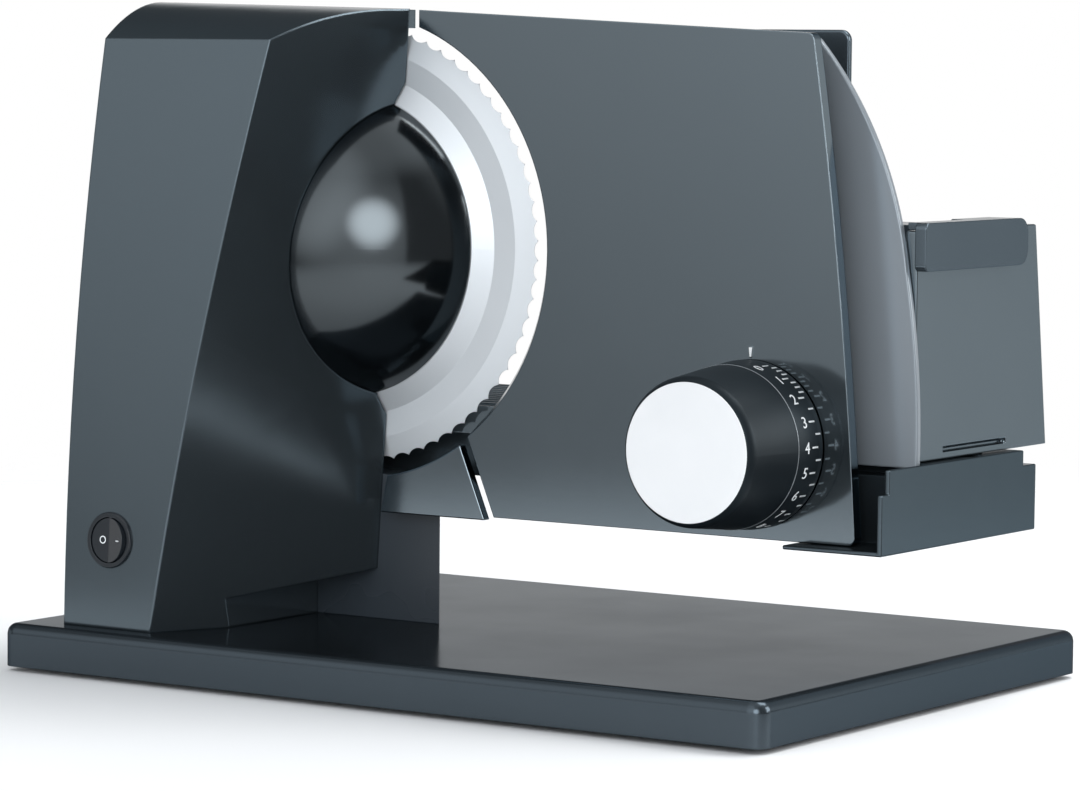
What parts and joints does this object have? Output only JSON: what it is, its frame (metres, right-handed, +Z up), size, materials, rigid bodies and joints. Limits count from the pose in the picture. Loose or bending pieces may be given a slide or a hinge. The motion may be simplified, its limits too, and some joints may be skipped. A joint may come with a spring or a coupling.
{
  "type": "food slicer",
  "caption": "Household food slicer: leaning motor tower, serrated round blade, sliding thickness plate set by a dial, rail with food carriage and pusher, on a flat base.",
  "frame": {"origin": "middle of the footprint, on the surface that the feet stand on", "axes": "+X towards the operator's end (right in the picture), +Y towards the carriage side (away from the viewer), +Z up"},
  "size_m": [0.34, 0.238, 0.2571],
  "materials": {
    "housing": "satin anthracite moulding",
    "dome_black": "high gloss black",
    "plate_grey": "satin anthracite coating",
    "base_grey": "glossy anthracite moulding",
    "cover_grey": "fine matt moulding",
    "carriage_grey": "satin grey coating",
    "blade_steel": "ground and polished stainless steel",
    "disc_silver": "fine turned aluminium",
    "knob_black": "matt black moulding",
    "scale_black": "matt black moulding with light figures",
    "switch_black": "satin black moulding with light marks",
    "foot_rubber": "soft black rubber",
    "rod_steel": "ground steel",
    "screw_steel": "zinc plated steel",
    "cast_metal": "as die cast",
    "can_steel": "zinc plated sheet steel",
    "magnet_dark": "sintered ferrite",
    "core_steel": "stacked sheet steel",
    "copper": "copper segments",
    "bush_bronze": "sintered bronze",
    "gear_nylon": "natural nylon",
    "pusher_clear": "glossy grey moulding",
    "shield_grey": "glossy anthracite moulding"
  },
  "bodies": {
    "frame_body": {"base_plate": "base_grey", "base_underplate": "cover_grey", "underplate_screws": "screw_steel", "base_feet": "foot_rubber", "tower_housing": "housing", "gear_dome": "dome_black", "blade_guard": "housing", "guard_screws": "screw_steel", "switch_bezel": "switch_black", "switch_body": "knob_black", "cord_inlet": "knob_black", "motor_can": "can_steel", "motor_magnets": "magnet_dark", "motor_bush": "bush_bronze", "worm_bush": "bush_bronze", "gear_bracket": "cast_metal", "bracket_screws": "screw_steel", "shaft_bushes": "bush_bronze", "arm_column": "base_grey", "lower_plate": "plate_grey", "rail_beam": "carriage_grey", "rail_end_cap": "carriage_grey", "dial_spindle": "rod_steel", "spindle_bracket": "can_steel"},
    "blade_body": {"blade": "blade_steel", "blade_hub": "gear_nylon", "blade_lock": "knob_black", "blade_shaft": "rod_steel", "worm_wheel": "gear_nylon"},
    "rotor_body": {"motor_shaft": "rod_steel", "armature": "core_steel", "commutator": "copper", "worm": "rod_steel"},
    "stop_body": {"stop_shell": "plate_grey", "stop_panel": "plate_grey", "stop_rods": "rod_steel", "stop_screws": "screw_steel"},
    "dial_body": {"dial_knob": "knob_black", "dial_scale_ring": "scale_black", "dial_disc": "disc_silver", "dial_clip": "screw_steel"},
    "carriage_body": {"carriage_floor": "carriage_grey", "carriage_shoe": "knob_black", "carriage_wall": "carriage_grey", "thumb_guard": "shield_grey", "carriage_screws": "screw_steel"},
    "pusher_body": {"pusher_arm": "pusher_clear", "pusher_plate": "pusher_clear", "pusher_spikes": "blade_steel", "pusher_grip": "knob_black"},
    "rocker_body": {"switch_rocker": "switch_black"}
  },
  "joints": [
    {"name": "blade_spin", "type": "hinge", "parent": "frame_body", "child": "blade_body", "pos_m": [-0.0773, -0.0159, 0.1638], "axis": [0, 1, 0], "continuous": true},
    {"name": "motor_spin", "type": "hinge", "parent": "frame_body", "child": "rotor_body", "pos_m": [-0.1153, -0.046, 0.1638], "axis": [0, 0, 1], "continuous": true},
    {"name": "stop_slide", "type": "slide", "parent": "frame_body", "child": "stop_body", "axis": [0, -1, 0], "range_m": [0, 0.015]},
    {"name": "dial_turn", "type": "hinge", "parent": "stop_body", "child": "dial_body", "pos_m": [0.1092, -0.028, 0.097], "axis": [0, -1, 0], "range_deg": [0, 270]},
    {"name": "carriage_slide", "type": "slide", "parent": "frame_body", "child": "carriage_body", "axis": [-1, 0, 0], "range_m": [0, 0.165]},
    {"name": "pusher_slide", "type": "slide", "parent": "carriage_body", "child": "pusher_body", "axis": [0, 1, 0], "range_m": [0, 0.03]},
    {"name": "switch_rock", "type": "hinge", "parent": "frame_body", "child": "rocker_body", "pos_m": [-0.128, -0.10433, 0.052], "axis": [0, 0.058, 0.9983], "range_deg": [0, 16]}
  ],
  "couplings": [
    {"joint": "motor_spin", "follows": "blade_spin", "ratio": -48},
    {"joint": "dial_turn", "follows": "stop_slide", "rad_per_m": 314.16}
  ]
}
